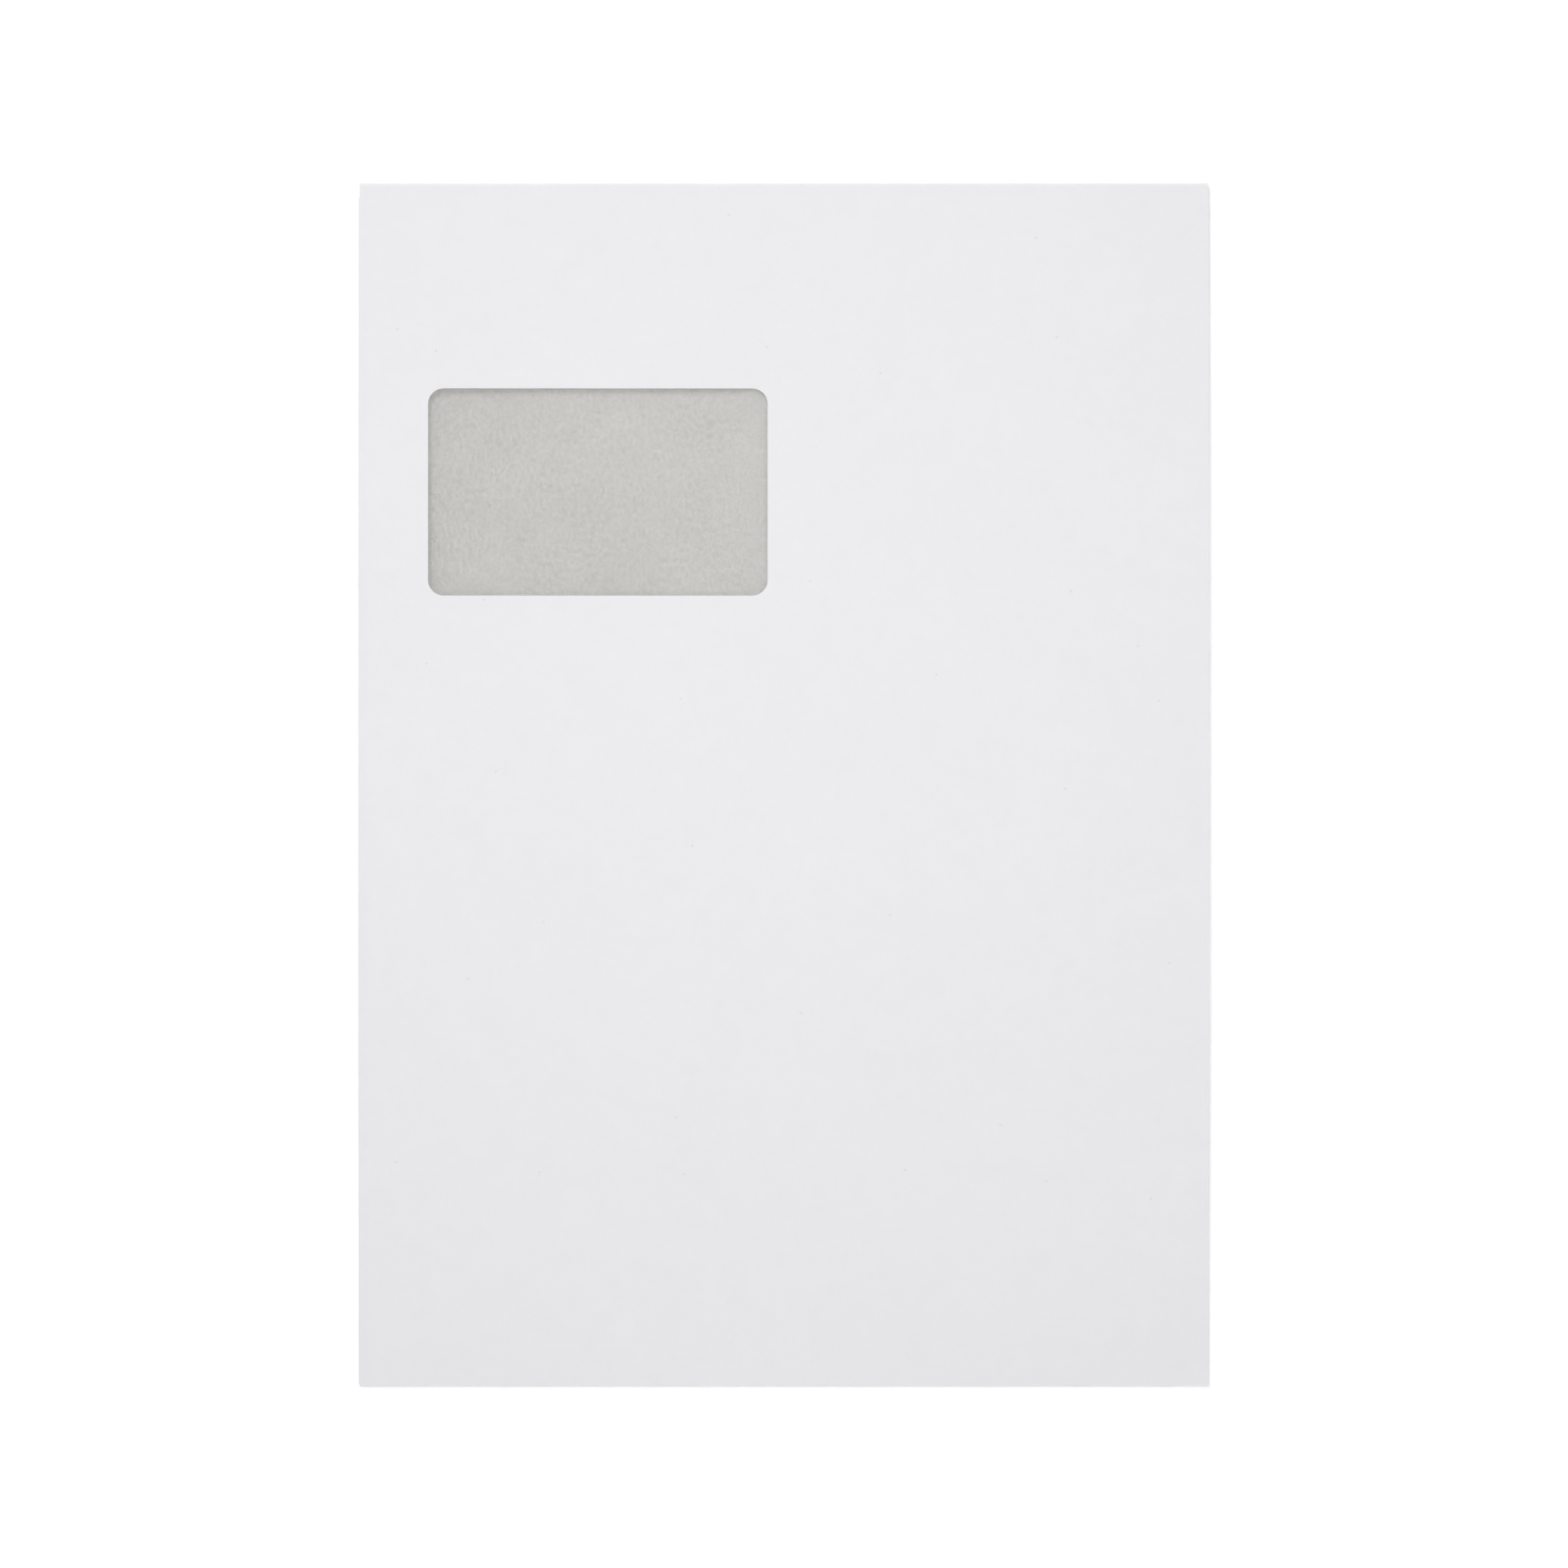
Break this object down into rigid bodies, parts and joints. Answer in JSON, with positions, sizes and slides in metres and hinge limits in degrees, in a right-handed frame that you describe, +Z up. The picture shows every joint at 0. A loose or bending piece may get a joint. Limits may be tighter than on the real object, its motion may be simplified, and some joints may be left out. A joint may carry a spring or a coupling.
{
  "type": "gusseted envelope",
  "caption": "Plain white pocket envelope with pleated side gussets, a rounded address window, a lapped back seam and a self-adhesive closing flap folded under it.",
  "frame": {"origin": "on the surface that the envelope lies on, under the middle of its outline", "axes": "+X to the right of the address side, +Y towards the mouth and the closing flap's fold, +Z up, out of the address side"},
  "size_m": [0.229, 0.324, 0.0032],
  "materials": {
    "paper": "matte",
    "film": "gloss",
    "adhesive": "satin",
    "liner": "satin"
  },
  "bodies": {
    "root": {"envelope_sheet": "paper", "window_film": "film", "adhesive_strip": "adhesive", "release_liner": "liner"}
  },
  "joints": []
}
